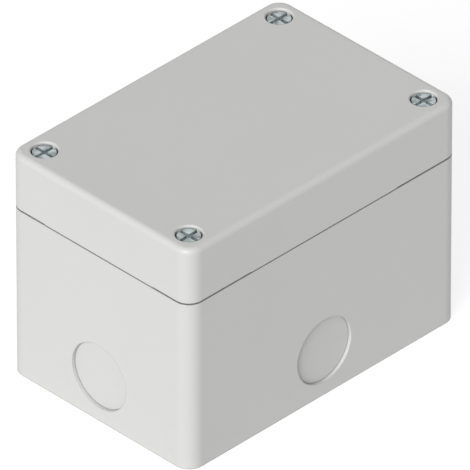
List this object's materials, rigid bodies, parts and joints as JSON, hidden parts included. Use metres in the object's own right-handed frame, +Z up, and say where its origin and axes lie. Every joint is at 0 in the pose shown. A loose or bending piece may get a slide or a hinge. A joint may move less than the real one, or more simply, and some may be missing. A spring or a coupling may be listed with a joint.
{
  "type": "push-button enclosure",
  "caption": "Small moulded box with a blank lid held by four captive cross-slot screws and a round knockout in each wall, for push buttons or wiring.",
  "frame": {"origin": "middle of the base's underside", "axes": "+Z up through the lid, X along the longer side, Y across"},
  "size_m": [0.12, 0.08, 0.084],
  "materials": {
    "base_moulding": "fine spark-eroded texture, pale grey",
    "lid_moulding": "fine spark-eroded texture, pale grey",
    "screw_steel": "blue-passivated zinc on steel",
    "ring_nylon": "natural nylon",
    "insert_brass": "knurled, plain",
    "seal_foam": "closed-cell foam with a skin"
  },
  "bodies": {
    "base": {"base": "base_moulding", "pillar_insert_front_left": "insert_brass", "pillar_insert_front_right": "insert_brass", "pillar_insert_back_left": "insert_brass", "pillar_insert_back_right": "insert_brass", "floor_insert_front_left": "insert_brass", "floor_insert_front_right": "insert_brass", "floor_insert_back_left": "insert_brass", "floor_insert_back_right": "insert_brass"},
    "lid": {"lid": "lid_moulding", "lid_seal": "seal_foam"},
    "ring_front_left": {"screw_ring_front_left": "ring_nylon"},
    "screw_front_left": {"lid_screw_front_left": "screw_steel"},
    "ring_front_right": {"screw_ring_front_right": "ring_nylon"},
    "screw_front_right": {"lid_screw_front_right": "screw_steel"},
    "ring_back_left": {"screw_ring_back_left": "ring_nylon"},
    "screw_back_left": {"lid_screw_back_left": "screw_steel"},
    "ring_back_right": {"screw_ring_back_right": "ring_nylon"},
    "screw_back_right": {"lid_screw_back_right": "screw_steel"}
  },
  "joints": [
    {"name": "lid_lift", "type": "slide", "parent": "base", "child": "lid", "axis": [0, 0, 1], "range_m": [0, 0.06]},
    {"name": "screw_rise_front_left", "type": "slide", "parent": "lid", "child": "ring_front_left", "axis": [0, 0, 1], "range_m": [0, 0.01029]},
    {"name": "screw_turn_front_left", "type": "hinge", "parent": "ring_front_left", "child": "screw_front_left", "pos_m": [-0.052, -0.032, 0.0806], "axis": [0, 0, 1], "range_deg": [0, 5293]},
    {"name": "screw_rise_front_right", "type": "slide", "parent": "lid", "child": "ring_front_right", "axis": [0, 0, 1], "range_m": [0, 0.01029]},
    {"name": "screw_turn_front_right", "type": "hinge", "parent": "ring_front_right", "child": "screw_front_right", "pos_m": [0.052, -0.032, 0.0806], "axis": [0, 0, 1], "range_deg": [0, 5293]},
    {"name": "screw_rise_back_left", "type": "slide", "parent": "lid", "child": "ring_back_left", "axis": [0, 0, 1], "range_m": [0, 0.01029]},
    {"name": "screw_turn_back_left", "type": "hinge", "parent": "ring_back_left", "child": "screw_back_left", "pos_m": [-0.052, 0.032, 0.0806], "axis": [0, 0, 1], "range_deg": [0, 5293]},
    {"name": "screw_rise_back_right", "type": "slide", "parent": "lid", "child": "ring_back_right", "axis": [0, 0, 1], "range_m": [0, 0.01029]},
    {"name": "screw_turn_back_right", "type": "hinge", "parent": "ring_back_right", "child": "screw_back_right", "pos_m": [0.052, 0.032, 0.0806], "axis": [0, 0, 1], "range_deg": [0, 5293]}
  ],
  "couplings": [
    {"joint": "screw_turn_front_left", "follows": "screw_rise_front_left", "rad_per_m": 8976},
    {"joint": "screw_turn_front_right", "follows": "screw_rise_front_right", "rad_per_m": 8976},
    {"joint": "screw_turn_back_left", "follows": "screw_rise_back_left", "rad_per_m": 8976},
    {"joint": "screw_turn_back_right", "follows": "screw_rise_back_right", "rad_per_m": 8976}
  ]
}
